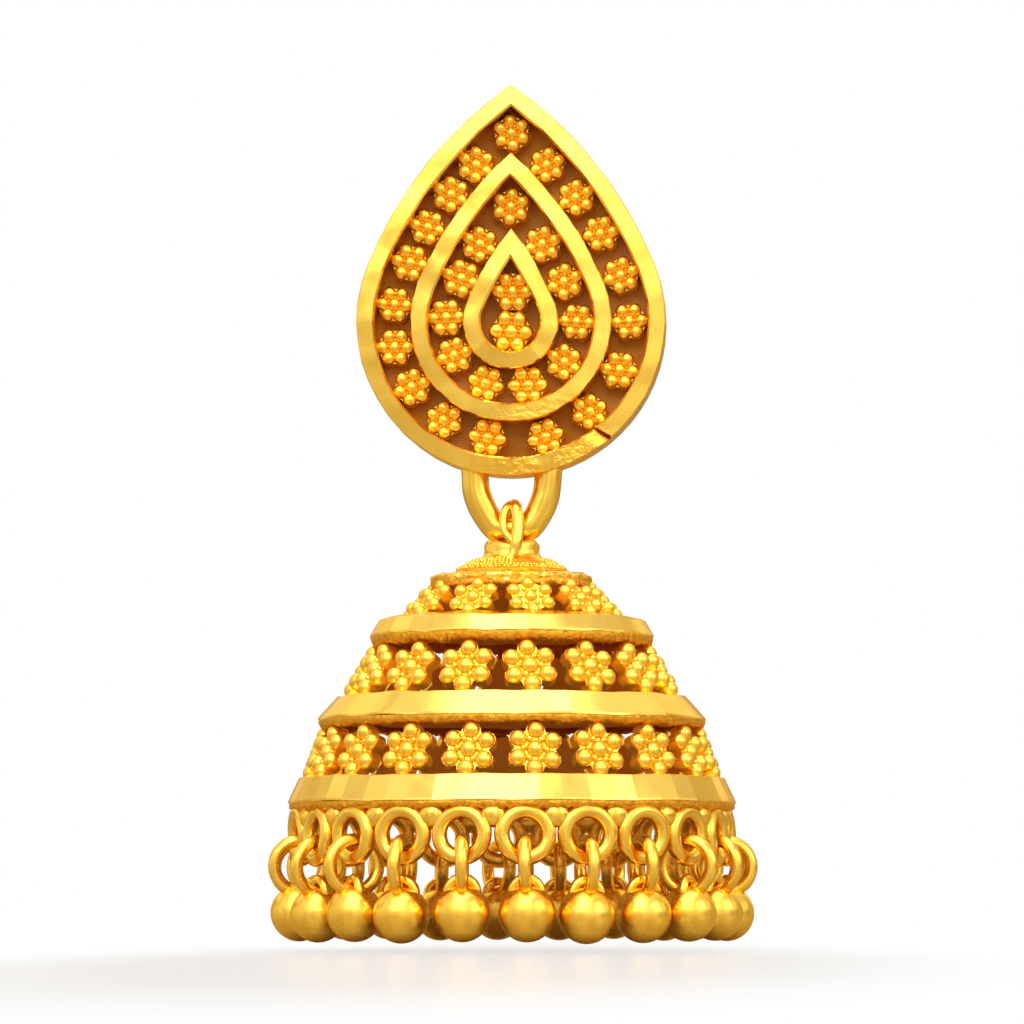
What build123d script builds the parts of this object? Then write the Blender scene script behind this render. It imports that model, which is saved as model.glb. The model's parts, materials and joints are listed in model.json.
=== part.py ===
"""A jhumka earring in gold: a drop-shaped ear plate with a post behind it, and a bell of flowers that
swings from a loop under the plate, with a fringe of beads round its rim.

Millimetres. +Z is up and the front faces -Y. The origin is where the ear post leaves the back of the
ear plate, which is where the earring is pinned on. Sizes of the bell are given as a radius from its
upright axis and a drop below the hinge line, which is the middle of the hanger loop's lowest point.
"""

import os
from collections import namedtuple
from math import atan2, cos, degrees, hypot, radians, sin, sqrt

from build123d import *

os.makedirs("parts", exist_ok=True)

# ---- Driving sizes ----------------------------------------------------------------------------------

SEAT_GAP = 0.02  # between two pieces that are soldered or rest on each other
SINK = 0.12  # how far one soldered element runs into the next one of the same solid

# Ear plate: a drop with its point up, made of a back sheet and three upright rims with flowers between
PLATE_HEIGHT = 19.8
ROUND_RADIUS = 7.78  # of the round lower end
SIDE_RADIUS = 20.7  # of the long arcs that run up to the point
POST_ABOVE_ROUND = 2.8  # the post stands this far above the middle of the round lower end
BACK_SHEET = 0.4
RIM_WIDTH = 0.9
RIM_DEPTH = 2.1  # from the back sheet to the polished front edge
RIM_INSETS = (0.0, 2.7, 5.36)  # outer, middle and inner rim, from the plate's outer edge
PLATE_DEPTH = BACK_SHEET + RIM_DEPTH

# Ear post
POST_RADIUS = 0.45
POST_LENGTH = 11.0
POST_TIP = 0.25  # rounding of the free end

# Hanger loop: a U of round wire under the ear plate
LOOP_WIRE = 1.25
LOOP_HALF_WIDTH = 1.93
LOOP_HEIGHT = 2.9  # from the lowest point of the wire's middle line to the straight legs
LOOP_BEND = 1.35  # radius of the lowest arc
LOOP_LEG = 1.2  # straight length that runs up into the plate's edge
HINGE_BELOW_POST = 13.2

# Eye, neck and collar on top of the bell
EYE_RADIUS = 1.18
EYE_WIRE = 0.55
EYE_TURN = 16.0  # degrees that the eye is turned from edge-on
NECK_TOP_RADIUS, NECK_TOP_DROP = 1.37, 0.45
NECK_FOOT_RADIUS, NECK_FOOT_DROP = 1.5, 1.45
NECK_FLARE = 0.35
COLLAR_TOP_RADIUS, COLLAR_TOP_DROP = 1.75, 1.5
COLLAR_RADIUS, COLLAR_EDGE_DROP, COLLAR_DROP = 2.8, 2.12, 2.25
SEAT_MIDDLE, SEAT_END = 0.84, 0.98  # radius of the hollow for the loop, in the middle and at its ends
SEAT_HALF_LENGTH = 1.5

# Bell: a cap and three bands, turned about the upright axis
Band = namedtuple("Band", "top shoulder edge under inner_foot inner_top")
CAP = (
    (0.0, 2.27),
    (2.9, 2.27),
    (3.75, 2.36),
    (4.02, 2.6),
    (4.08, 2.98),
    (3.95, 3.3),
    (3.35, 3.3),
    (3.2, 2.85),
    (0.0, 2.85),
)
BANDS = (
    Band((5.6, 4.4), (6.62, 4.62), (7.13, 5.38), (6.88, 5.86), (6.2, 6.2), (5.15, 4.6)),
    Band((8.6, 8.44), (9.18, 8.66), (9.72, 9.6), (9.52, 9.98), (8.85, 10.25), (7.9, 8.42)),
    Band((10.52, 12.52), (10.92, 12.85), (11.2, 13.76), (11.02, 14.16), (10.2, 14.16), (9.8, 12.58)),
)

# Flowers: six grains about a middle one, each a short pillar with a rounded head, on a round web
Flower = namedtuple("Flower", "across upright grain web thickness height")
PLATE_FLOWER = Flower(across=0.66, upright=0.66, grain=0.31, web=0.62, thickness=0.95, height=1.28)
Row = namedtuple("Row", "count first_angle top foot flower")
ROWS = (
    Row(10, 15.2, (4.1, 2.95), (5.68, 4.48), Flower(0.84, 0.84, 0.34, 0.74, 0.45, 0.77)),
    Row(15, 10.2, (6.98, 5.62), (8.64, 8.4), Flower(0.96, 1.1, 0.42, 0.88, 0.5, 0.9)),
    Row(19, 10.2, (9.6, 9.88), (10.58, 12.51), Flower(0.97, 1.04, 0.41, 0.88, 0.5, 0.89)),
)
HEAD_ROUNDING = 0.7  # rounding of a grain's head as a share of its radius

# Flowers of the ear plate: one under the point of each channel, and more counted down each side of it
OUTER_CHANNEL = (RIM_INSETS[0] + RIM_WIDTH + RIM_INSETS[1]) / 2
INNER_CHANNEL = (RIM_INSETS[1] + RIM_WIDTH + RIM_INSETS[2]) / 2
Side = namedtuple("Side", "sign count first pitch")
CHANNELS = {
    OUTER_CHANNEL: (Side(-1, 9, 2.6, 2.17), Side(1, 8, 2.95, 2.36)),
    INNER_CHANNEL: (Side(-1, 5, 2.75, 2.0), Side(1, 5, 3.15, 2.07)),
}
POINT_FLOWER_DROP = 0.2  # the flower at the point sits this far below the channel's middle line
SIDE_TURN = 30.0  # degrees that a flower at the drop's widest place is turned
CENTRE_FLOWERS = (1.57, -0.5)  # heights above the middle of the round lower end
STEM_WIDTH = 0.45

# Rim rings under the lowest band, and the fringe: a link and a bead through each ring
FRINGE_COUNT = 22
FRINGE_FIRST_ANGLE = 7.0
RING_CIRCLE = 10.7
RING_DROP = 15.42
RING_RADIUS = 1.17  # of the wire's middle line
RING_WIRE = 0.66
LINK_RADIUS = 1.245
LINK_WIRE = 0.64
LINK_DROP = 16.93
BEAD_RADIUS = 1.37
BEAD_DROP = 19.25

# ---- Places worked out from the sizes ---------------------------------------------------------------

ROUND_MIDDLE = -POST_ABOVE_ROUND
POINT_ABOVE_ROUND = PLATE_HEIGHT - ROUND_RADIUS
SIDE_REACH = SIDE_RADIUS - ROUND_RADIUS
SIDE_DROP = (SIDE_RADIUS**2 - SIDE_REACH**2 - POINT_ABOVE_ROUND**2) / (2 * POINT_ABOVE_ROUND)
SIDE_OFFSET = sqrt(SIDE_REACH**2 - SIDE_DROP**2)
HINGE = Vector(0, -PLATE_DEPTH / 2, -HINGE_BELOW_POST)
FRONT = Plane(origin=HINGE, x_dir=(1, 0, 0), z_dir=(0, -1, 0))  # upright plane through the bell's axis
BELL_AXIS = Axis(HINGE, (0, 0, 1))


# ---- Ear plate --------------------------------------------------------------------------------------


def drop_arcs(inset):
    """The right side arc and the round lower end of the drop, this far inside the plate's outer edge.

    Gives the point, where the two arcs meet, and the lowest point, in the plate's own plane.
    """
    side, lower = SIDE_RADIUS - inset, ROUND_RADIUS - inset
    side_middle = ROUND_MIDDLE - SIDE_DROP
    point = (0, side_middle + sqrt(side**2 - SIDE_OFFSET**2))
    scale = lower / SIDE_REACH
    meeting = (SIDE_OFFSET * scale, ROUND_MIDDLE + SIDE_DROP * scale)
    lowest = (0, ROUND_MIDDLE - lower)
    return side, lower, point, meeting, lowest


def half_drop(inset):
    """The right side of the drop's outline, from its point down to its lowest point."""
    side, lower, point, meeting, lowest = drop_arcs(inset)
    with BuildLine() as right_side:
        RadiusArc(point, meeting, side)
        RadiusArc(meeting, lowest, lower)
    return right_side.wire()


def drop_outline(inset):
    """The drop's whole outline, this far inside the plate's outer edge."""
    with BuildLine() as outline:
        add(half_drop(inset))
        mirror(about=Plane.YZ)
    return outline.edges()


def flower_solid(flower):
    """One flower lying on the XY plane, with its grains rising along +Z."""
    petals = [
        (flower.across * sin(radians(turn)), flower.upright * cos(radians(turn)))
        for turn in range(0, 360, 60)
    ]
    with BuildPart() as grain:
        with BuildSketch():
            Circle(flower.grain)
        extrude(amount=flower.height)
        fillet(grain.edges().sort_by(Axis.Z)[-1], flower.grain * HEAD_ROUNDING)
    with BuildPart() as blossom:
        with BuildSketch():
            Circle(flower.web)
        extrude(amount=flower.thickness)
        with Locations((0, 0), *petals):
            add(grain.part)
    return blossom.part


def channel_places(inset, sides):
    """Where a channel's flowers stand and how each is turned, from the drop's point down both sides."""
    route = half_drop(inset)
    slope_at_point = route.tangent_at(0)
    point_angle = atan2(slope_at_point.X, -slope_at_point.Y)
    places = [(0, drop_arcs(inset)[2][1] - POINT_FLOWER_DROP, 0)]
    for side in sides:
        for step in range(side.count):
            along = side.first + step * side.pitch
            spot = route.position_at(along, position_mode=PositionMode.LENGTH)
            slope = route.tangent_at(along, position_mode=PositionMode.LENGTH)
            turn = SIDE_TURN * (1 - atan2(slope.X, -slope.Y) / point_angle)
            places.append((side.sign * spot.X, spot.Y, side.sign * turn))
    return places


def make_ear_plate():
    """Back sheet, three rims and the flowers between them, soldered into one piece."""
    back_front = Plane.XZ.offset(BACK_SHEET)
    places = [spot for inset, sides in CHANNELS.items() for spot in channel_places(inset, sides)]
    places += [(0, ROUND_MIDDLE + height, 0) for height in CENTRE_FLOWERS]
    flower = flower_solid(PLATE_FLOWER)
    stem_top = drop_arcs(OUTER_CHANNEL)[2][1] - 2 * PLATE_FLOWER.upright
    stem_foot = drop_arcs(RIM_INSETS[1])[2][1] - SINK * 3
    with BuildPart() as ear_plate:
        with BuildSketch(Plane.XZ):
            make_face(drop_outline(0))
        extrude(amount=BACK_SHEET)
        for inset in RIM_INSETS:
            with BuildSketch(back_front):
                make_face(drop_outline(inset))
                make_face(drop_outline(inset + RIM_WIDTH), mode=Mode.SUBTRACT)
            extrude(amount=RIM_DEPTH)
        with BuildSketch(back_front):
            with Locations((0, (stem_top + stem_foot) / 2)):
                Rectangle(STEM_WIDTH, stem_top - stem_foot)
        extrude(amount=PLATE_FLOWER.thickness)
        with Locations(back_front):
            with Locations(*[Location((x, z, 0), (0, 0, -turn)) for x, z, turn in places]):
                add(flower)
    return ear_plate.part


def make_ear_post():
    """A plain straight pin behind the plate, with a rounded free end."""
    with BuildPart() as ear_post:
        with BuildSketch(Plane.XZ.offset(-SEAT_GAP)):
            Circle(POST_RADIUS)
        extrude(amount=-POST_LENGTH)
        fillet(ear_post.edges().sort_by(Axis.Y)[-1], POST_TIP)
    return ear_post.part


# ---- Hanger loop ------------------------------------------------------------------------------------


def make_hanger_loop():
    """A U of round wire. Its legs are cut to the plate's round lower edge, where they are soldered."""
    rise = LOOP_HEIGHT - LOOP_BEND
    side_arc = (LOOP_HALF_WIDTH**2 + rise**2 - LOOP_BEND**2) / (2 * (LOOP_HALF_WIDTH - LOOP_BEND))
    turn = degrees(atan2(rise, side_arc - LOOP_HALF_WIDTH))
    bend_middle = (0, LOOP_BEND)
    with BuildPart() as hanger_loop:
        with BuildLine(FRONT) as route:
            leg = Line((-LOOP_HALF_WIDTH, LOOP_HEIGHT + LOOP_LEG), (-LOOP_HALF_WIDTH, LOOP_HEIGHT))
            CenterArc((side_arc - LOOP_HALF_WIDTH, LOOP_HEIGHT), side_arc, 180, turn)
            CenterArc(bend_middle, LOOP_BEND, 180 + turn, 180 - 2 * turn)
            CenterArc((LOOP_HALF_WIDTH - side_arc, LOOP_HEIGHT), side_arc, -turn, turn)
            Line((LOOP_HALF_WIDTH, LOOP_HEIGHT), (LOOP_HALF_WIDTH, LOOP_HEIGHT + LOOP_LEG))
        with BuildSketch(Plane(origin=leg @ 0, z_dir=leg % 0)):
            Circle(LOOP_WIRE / 2)
        sweep(path=route.wire())
        with BuildSketch(Plane.XZ):
            make_face(drop_outline(-SEAT_GAP))
        extrude(amount=PLATE_DEPTH, mode=Mode.SUBTRACT)
    return hanger_loop.part


# ---- Bell -------------------------------------------------------------------------------------------


def below(radius_and_drop):
    """A point of the bell's section: out from the axis and down from the hinge line."""
    radius, drop = radius_and_drop
    return (radius, -drop)


def make_bell_eye():
    """The eye that hangs on the loop, its thick neck and the collar that sits on the bell's cap."""
    with BuildPart() as bell_eye:
        with BuildSketch(FRONT):
            with BuildLine():
                Polyline(
                    below((0, NECK_TOP_DROP)),
                    below((NECK_TOP_RADIUS, NECK_TOP_DROP)),
                    below((NECK_FOOT_RADIUS, NECK_FOOT_DROP)),
                    below((COLLAR_TOP_RADIUS, COLLAR_TOP_DROP)),
                    below((COLLAR_RADIUS, COLLAR_EDGE_DROP)),
                    below((COLLAR_RADIUS, COLLAR_DROP)),
                    below((0, COLLAR_DROP)),
                    close=True,
                )
            make_face()
        revolve(axis=BELL_AXIS)
        with BuildSketch(FRONT):  # half of the barrel-shaped hollow that clears the loop as the bell swings
            with BuildLine():
                rim = ThreePointArc(
                    (-SEAT_HALF_LENGTH, SEAT_END), (0, SEAT_MIDDLE), (SEAT_HALF_LENGTH, SEAT_END)
                )
                Polyline(rim @ 1, (SEAT_HALF_LENGTH, 0), (-SEAT_HALF_LENGTH, 0), rim @ 0)
            make_face()
        revolve(axis=Axis(HINGE, (1, 0, 0)), mode=Mode.SUBTRACT)
        eye_plane = Plane(origin=HINGE, z_dir=(cos(radians(EYE_TURN)), sin(radians(EYE_TURN)), 0))
        with Locations(eye_plane):
            Torus(EYE_RADIUS, EYE_WIRE / 2)
    return bell_eye.part


def row_places(row):
    """The plane of each flower of a row: on the bell's slope, its back towards the axis, its top up."""
    rise = row.foot[1] - row.top[1]
    run = row.foot[0] - row.top[0]
    length = hypot(rise, run)
    outward, upward = rise / length, run / length
    radius = (row.top[0] + row.foot[0]) / 2 - row.flower.height * outward
    drop = (row.top[1] + row.foot[1]) / 2 + row.flower.height * upward
    planes = []
    for step in range(row.count):
        angle = radians(row.first_angle + step * 360 / row.count)
        across, ahead = sin(angle), -cos(angle)
        planes.append(
            Plane(
                origin=HINGE + Vector(radius * across, radius * ahead, -drop),
                x_dir=(-ahead, across, 0),
                z_dir=(outward * across, outward * ahead, upward),
            )
        )
    return planes


def fringe_plane(step, drop):
    """A plane on the rim ring's circle at this drop: +X runs round the rim and +Z points outward."""
    angle = radians(FRINGE_FIRST_ANGLE + step * 360 / FRINGE_COUNT)
    across, ahead = sin(angle), -cos(angle)
    return Plane(
        origin=HINGE + Vector(RING_CIRCLE * across, RING_CIRCLE * ahead, -drop),
        x_dir=(-ahead, across, 0),
        z_dir=(across, ahead, 0),
    )


def make_bell_dome():
    """Cap, bands, flowers and rim rings, soldered into one openwork bell."""
    with BuildPart() as bell_dome:
        for section in (CAP, *BANDS):
            with BuildSketch(FRONT):
                with BuildLine():
                    Polyline(*[below(corner) for corner in section], close=True)
                make_face()
            revolve(axis=BELL_AXIS)
        for row in ROWS:
            flower = flower_solid(row.flower)
            with Locations(*row_places(row)):
                add(flower)
        with Locations(*[fringe_plane(step, RING_DROP) for step in range(FRINGE_COUNT)]):
            Torus(RING_RADIUS, RING_WIRE / 2)
    return bell_dome.part


def make_drop(step):
    """A link through one rim ring with a bead soldered to its foot. The link stands across the ring."""
    across_ring = fringe_plane(step, LINK_DROP)
    with BuildPart() as drop:
        with Locations(Plane(origin=across_ring.origin, z_dir=across_ring.x_dir)):
            Torus(LINK_RADIUS, LINK_WIRE / 2)
        with Locations(fringe_plane(step, BEAD_DROP)):
            Sphere(BEAD_RADIUS)
    return drop.part


# ---- The pieces -------------------------------------------------------------------------------------

pieces = {
    "ear_plate": make_ear_plate(),
    "ear_post": make_ear_post(),
    "hanger_loop": make_hanger_loop(),
    "bell_eye": make_bell_eye(),
    "bell_dome": make_bell_dome(),
}
for number in range(FRINGE_COUNT):
    pieces[f"drop_{number + 1:02d}"] = make_drop(number)

for name, piece in pieces.items():
    piece.label = name
    export_step(piece, f"parts/{name}.step")
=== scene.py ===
# %% [markdown]
# # A gold jhumka earring
#
# The earring is an ear plate shaped like a drop, and a bell that swings from a loop under it. Its metal was
# made by hand: strips bent and soldered into rims and bands, little balls of gold fused into flowers, and
# wire links that carry the beads. The lesson builds each of these in the order a goldsmith would.
#
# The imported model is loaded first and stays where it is. It says where everything goes.

import json
import random
from collections import namedtuple
from math import asin, atan2, cos, hypot, pi, radians, sin, sqrt

import bmesh
import bpy
from mathutils import Euler, Matrix, Vector, noise


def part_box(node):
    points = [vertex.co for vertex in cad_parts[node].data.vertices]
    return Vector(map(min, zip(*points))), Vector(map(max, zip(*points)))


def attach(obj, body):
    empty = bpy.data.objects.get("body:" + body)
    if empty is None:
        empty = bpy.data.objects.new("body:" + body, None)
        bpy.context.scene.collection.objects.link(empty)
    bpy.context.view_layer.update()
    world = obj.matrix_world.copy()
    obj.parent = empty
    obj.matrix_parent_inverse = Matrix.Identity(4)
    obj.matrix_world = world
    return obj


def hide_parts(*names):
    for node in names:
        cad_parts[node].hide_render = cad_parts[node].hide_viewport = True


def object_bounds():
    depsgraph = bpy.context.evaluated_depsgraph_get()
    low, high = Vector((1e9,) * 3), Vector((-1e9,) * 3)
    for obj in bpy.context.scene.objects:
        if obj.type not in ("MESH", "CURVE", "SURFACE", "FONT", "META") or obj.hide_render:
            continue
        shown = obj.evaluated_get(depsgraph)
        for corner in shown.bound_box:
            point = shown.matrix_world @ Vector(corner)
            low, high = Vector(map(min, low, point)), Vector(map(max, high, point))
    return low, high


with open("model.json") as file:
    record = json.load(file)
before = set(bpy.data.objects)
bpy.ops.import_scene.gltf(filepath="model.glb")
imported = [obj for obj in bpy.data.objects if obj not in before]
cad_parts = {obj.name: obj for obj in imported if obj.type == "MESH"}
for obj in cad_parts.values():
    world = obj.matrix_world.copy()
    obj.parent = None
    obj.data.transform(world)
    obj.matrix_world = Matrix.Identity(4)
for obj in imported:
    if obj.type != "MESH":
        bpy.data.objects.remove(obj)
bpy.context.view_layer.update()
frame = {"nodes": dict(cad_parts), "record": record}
hinge = Vector(frame["record"]["behaviour"]["joints"][0]["pos_m"])
post_root = Vector(next(m["pos_m"] for m in frame["record"]["mounts"] if m["name"] == "ear_point"))
DROPS = sorted(name for name in frame["nodes"] if name.startswith("drop_"))
print("hinge at", [round(c * 1000, 2) for c in hinge], "mm;", len(DROPS), "drops in the fringe")

# %% [markdown]
# ## How a piece is finished
#
# Every piece below is modelled in millimetres round a handy centre, because such small sizes are hard to
# read in metres. At the end it is scaled, put in its place by moving its points rather than its object, and
# tied to the body it moves with. One helper does this, so no piece can miss a step. Shapes that repeat are
# kept as small meshes and stamped where they are wanted.

# %% From millimetres to a finished piece
MM = 0.001
MERGE = 0.0001  # points nearer than this many millimetres are one point
UPRIGHT = Matrix.Rotation(pi / 2, 4, "X")  # lays a shape drawn flat against the upright front


def keep_mesh(bm, name):
    """Turn a bmesh into a mesh and let the bmesh go."""
    mesh = bpy.data.meshes.new(name)
    bm.to_mesh(mesh)
    bm.free()
    return mesh


def stamp(bm, shape, places):
    """Add one copy of a shape at each place, which is a matrix in millimetres."""
    for place in places:
        first = len(bm.verts)
        bm.from_mesh(shape)
        bm.verts.ensure_lookup_table()
        bmesh.ops.transform(bm, matrix=place, verts=bm.verts[first:])


def add_part(bm, part, name):
    """Add a shape that was made in its own bmesh and stands in its place already."""
    stamp(bm, keep_mesh(part, name), [Matrix()])


def finish_piece(bm, name, body, material, centre, stands_for, sharp, turn=Matrix(), mend=False):
    """Turn a bmesh in millimetres into a piece in metres that rides on a body and stands for CAD nodes.

    Edges bent by more than this many degrees stay sharp. Mending turns every face outwards.
    """
    place = Matrix.Translation(centre) @ Matrix.Scale(MM, 4) @ turn
    bmesh.ops.transform(bm, matrix=place, verts=bm.verts)
    if mend:
        bmesh.ops.recalc_face_normals(bm, faces=bm.faces)
    mesh = keep_mesh(bm, name)
    piece = bpy.data.objects.new(name, mesh)
    bpy.context.collection.objects.link(piece)
    mesh.shade_smooth()
    mesh.set_sharp_from_angle(angle=radians(sharp))
    mesh.materials.append(material)
    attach(piece, body)
    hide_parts(*stands_for)
    print(f"{name}: {sum(len(face.vertices) - 2 for face in mesh.polygons)} triangles")
    return piece


# %% [markdown]
# ## Shader maths that reads like sums
#
# A material is a web of nodes. Wiring it by hand hides what it means, so a small class wraps a socket and
# lets Python's own operators add the Math nodes: `1 - mask * 0.5` makes two nodes. Everything that isn't a
# sum comes from one method that is told the node's type, its settings and its inputs.

# %% A socket that does maths


class Value:
    """A shader socket that can be added, taken away and multiplied."""

    def __init__(self, tree, socket):
        self.tree, self.socket = tree, socket

    def math(self, operation, other, swap=False):
        first, second = (other, self) if swap else (self, other)
        return self.tree.node("ShaderNodeMath", {"operation": operation}, {0: first, 1: second})

    def __add__(self, other):
        return self.math("ADD", other)

    def __radd__(self, other):
        return self.math("ADD", other, swap=True)

    def __sub__(self, other):
        return self.math("SUBTRACT", other)

    def __rsub__(self, other):
        return self.math("SUBTRACT", other, swap=True)

    def __mul__(self, other):
        return self.math("MULTIPLY", other)

    def __rmul__(self, other):
        return self.math("MULTIPLY", other, swap=True)

    def step(self, low, high):
        """0 below low, 1 above high, and a smooth rise between them."""
        inputs = {"Value": self, "From Min": low, "From Max": high}
        return self.tree.node("ShaderNodeMapRange", {"interpolation_type": "SMOOTHSTEP"}, inputs)


# %% A node tree


class Tree:
    """A node tree that is written as expressions."""

    def __init__(self, node_tree):
        self.nodes, self.links = node_tree.nodes, node_tree.links
        self.nodes.clear()

    def node(self, kind, settings=None, inputs=None, output=0):
        """Add a node: first its settings, then its inputs, and give back one of its outputs."""
        made = self.nodes.new(kind)
        for key, setting in (settings or {}).items():
            setattr(made, key, setting)
        for key, given in (inputs or {}).items():
            socket = made.inputs[key]
            if isinstance(given, Value):
                self.links.new(given.socket, socket)
            elif isinstance(given, tuple) and len(given) == 3 and len(socket.default_value) == 4:
                socket.default_value = (*given, 1)
            else:
                socket.default_value = given
        return Value(self, made.outputs[output]) if made.outputs else made

    def place(self):
        """Where a point of the surface lies, in metres."""
        return self.node("ShaderNodeTexCoord", output="Object")

    def noise(self, size, detail, roughness=0.5):
        """Soft random patches of about this size in millimetres, from 0 to 1."""
        inputs = {"Vector": self.place(), "Scale": 1 / (size * MM), "Detail": detail, "Roughness": roughness}
        return self.node("ShaderNodeTexNoise", None, inputs)

    def vector(self, operation, *given, output=0):
        """One step of vector maths. Lengths and dot products are its output named Value."""
        return self.node("ShaderNodeVectorMath", {"operation": operation}, dict(enumerate(given)), output)

    def mix(self, factor, first, second):
        """Blend two colours, which are inputs 6 and 7 and output 2 of the Mix node."""
        return self.node("ShaderNodeMix", {"data_type": "RGBA"}, {"Factor": factor, 6: first, 7: second}, 2)


# %% [markdown]
# ## The gold
#
# Gold of 22 carats is one metal, but its finish changes from part to part. A strip that was cut with a
# diamond tool is a mirror with faint tool lines. A filed rim is satin. Fused balls of gold have a skin that
# is a little rough, like cast metal. So one recipe makes them all: metallic, a warm colour that drifts
# slightly, a roughness that varies in patches, and two scales of bump. It can also paint shade on the walls
# that face the bell's axis, as a darker, more orange colour, and make them rougher. It can also leave one
# place of a piece ragged, where solder ran.

# %% One recipe for gold
GOLD = (1.0, 0.62, 0.085)
DEEP_GOLD = (0.97, 0.52, 0.05)
PALE_GOLD = (1.0, 0.67, 0.13)
CRUST_GOLD = (0.66, 0.28, 0.02)
INSIDE_SHADE_GOLD = (0.95, 0.4, 0.06)  # painted shade for the walls that face the bell's axis, darker and more orange than the outside
# Painted shade: the sheet's front, seen in the deep gaps between rims and flowers, is dark brown with tan
# patches.
SHEET_SHADE_BROWN, SHEET_SHADE_TAN = (0.32, 0.11, 0.012), (0.66, 0.32, 0.11)
EDGE_TINT = (1.0, 0.8, 0.5)  # gold seen at a glancing angle stays warm
MICROMETRE = 0.001 * MM
DENT_SIZE = 2.2  # the broad, shallow dents of hand work, in millimetres
RAGGED_SIZE, RAGGED_HEIGHT = 0.3, 90.0  # crumbs of spilt solder, in millimetres and micrometres
RAGGED_TINT, RAGGED_ROUGH, INNER_ROUGH = 0.8, 0.08, 0.2
FADE_FROM, FADE_TO = 2.2, 4.4  # a ragged place fades out between these distances, in millimetres


def faces_axis(tree):
    """1 on walls that face the bell's own axis, and 0 on its outside."""
    from_hinge = tree.vector("SUBTRACT", tree.place(), hinge[:])
    outward = tree.vector("NORMALIZE", tree.vector("MULTIPLY", from_hinge, (1.0, 1.0, 0.0)))
    normal = tree.node("ShaderNodeTexCoord", output="Normal")
    facing = tree.vector("DOT_PRODUCT", outward, normal, output="Value")
    return (0 - facing).step(0.1, 0.5)


def ragged_place(tree, spot):
    """1 round a place given in millimetres from the post, and 0 further off."""
    spot = post_root + Vector(spot) * MM
    away = tree.vector("DISTANCE", tree.place(), spot[:], output="Value")
    return 1 - away.step(FADE_FROM * MM, FADE_TO * MM)


def gold(name, colours, rough, patch, grain, depth, wave=0.0, drift=0.35, shade_inside=False, ragged_at=None):
    """A gold finish: its colour and its roughness each drift between two values, in patches.

    Patch and grain are sizes in millimetres, depth and wave are heights in micrometres.
    """
    material = bpy.data.materials.new(name)
    material.use_nodes = True
    tree = Tree(material.node_tree)
    patches = tree.noise(patch, detail=3.0)
    height = tree.noise(grain, detail=4.0, roughness=0.6) * depth
    base = tree.mix(patches.step(0.35, 0.75) * drift, *colours)
    roughness = rough[0] + patches.step(0.3, 0.7) * (rough[1] - rough[0])
    if wave:
        height = height + tree.noise(DENT_SIZE, detail=1.0) * wave
    if ragged_at:
        ragged = ragged_place(tree, ragged_at) * patches.step(0.3, 0.5)
        height = height + ragged * tree.noise(RAGGED_SIZE, detail=3.0) * RAGGED_HEIGHT
        base = tree.mix(ragged * RAGGED_TINT, base, DEEP_GOLD)
        roughness = roughness + ragged * RAGGED_ROUGH
    # Painted shade: walls that face the bell's axis get a darker, more orange colour, and are rougher as
    # well.
    if shade_inside:
        inside = faces_axis(tree)
        base = tree.mix(inside, base, INSIDE_SHADE_GOLD)
        roughness = roughness + inside * INNER_ROUGH
    bump = tree.node("ShaderNodeBump", None, {"Height": height, "Distance": MICROMETRE, "Strength": 1.0})
    surface = {"Base Color": base, "Metallic": 1.0, "Roughness": roughness, "Normal": bump}
    surface["Specular Tint"] = EDGE_TINT
    shader = tree.node("ShaderNodeBsdfPrincipled", None, surface)
    tree.node("ShaderNodeOutputMaterial", None, {"Surface": shader})
    return material


# %% The finishes of this earring
SPILT_SOLDER = (1.9, -2.5, -10.2)  # on the bottom of the outer rim

cut_gold = gold(
    "cut_gold", (PALE_GOLD, GOLD), (0.18, 0.28), patch=1.2, grain=0.1, depth=1.2, wave=30.0, shade_inside=True
)
rim_gold = gold(
    "rim_gold", (GOLD, PALE_GOLD), (0.16, 0.28), patch=1.8, grain=0.12, depth=2.0, wave=110.0,
    ragged_at=SPILT_SOLDER,
)
grain_gold = gold("grain_gold", (GOLD, DEEP_GOLD), (0.28, 0.4), patch=0.7, grain=0.2, depth=4.0)
petal_gold = gold("petal_gold", (GOLD, DEEP_GOLD), (0.27, 0.38), patch=0.7, grain=0.2, depth=4.0, shade_inside=True)
# Painted shade on the sheet's front: dark brown drifting to tan in patches, with a dull finish.
sheet_shade_gold = gold(
    "sheet_shade_gold", (SHEET_SHADE_BROWN, SHEET_SHADE_TAN), (0.4, 0.55), patch=4.0, grain=0.2, depth=8.0, drift=0.55
)
wire_gold = gold("wire_gold", (GOLD, DEEP_GOLD), (0.16, 0.28), patch=0.9, grain=0.25, depth=5.0, wave=30.0)
skin_gold = gold(
    "skin_gold", (DEEP_GOLD, CRUST_GOLD), (0.32, 0.48), patch=0.3, grain=0.16, depth=90.0,
    drift=0.85, shade_inside=True,
)
bead_gold = gold(
    "bead_gold", (GOLD, DEEP_GOLD), (0.22, 0.34), patch=0.9, grain=0.3, depth=2.0, wave=70.0, drift=0.6
)
print("gold finishes:", [m.name for m in bpy.data.materials if m.name.endswith("gold")])

# %% [markdown]
# ## The outline of the ear plate
#
# The plate is a drop with its point up. Three arcs draw it: a round lower end, and a long arc up each side.
# Rims and channels all follow the same outline, a fixed distance further in, and an arc stays an arc when
# it moves in. Here the outline is a route that can be read at any length from the point, so that flowers can
# be set along it and rims swept round it.

# %% The drop's route
PLATE_HEIGHT, ROUND_RADIUS, SIDE_RADIUS = 19.8, 7.78, 20.7
ROUND_MIDDLE = -2.8  # the height of the round end's centre, from the post
BACK_SHEET, PLATE_DEPTH = 0.4, 2.5

# The side arc goes through the point and runs smoothly into the round end, and that fixes its centre.
rise = PLATE_HEIGHT - ROUND_RADIUS
reach = SIDE_RADIUS - ROUND_RADIUS
side_drop = (SIDE_RADIUS**2 - reach**2 - rise**2) / (2 * rise)
side_offset = sqrt(reach**2 - side_drop**2)


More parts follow.
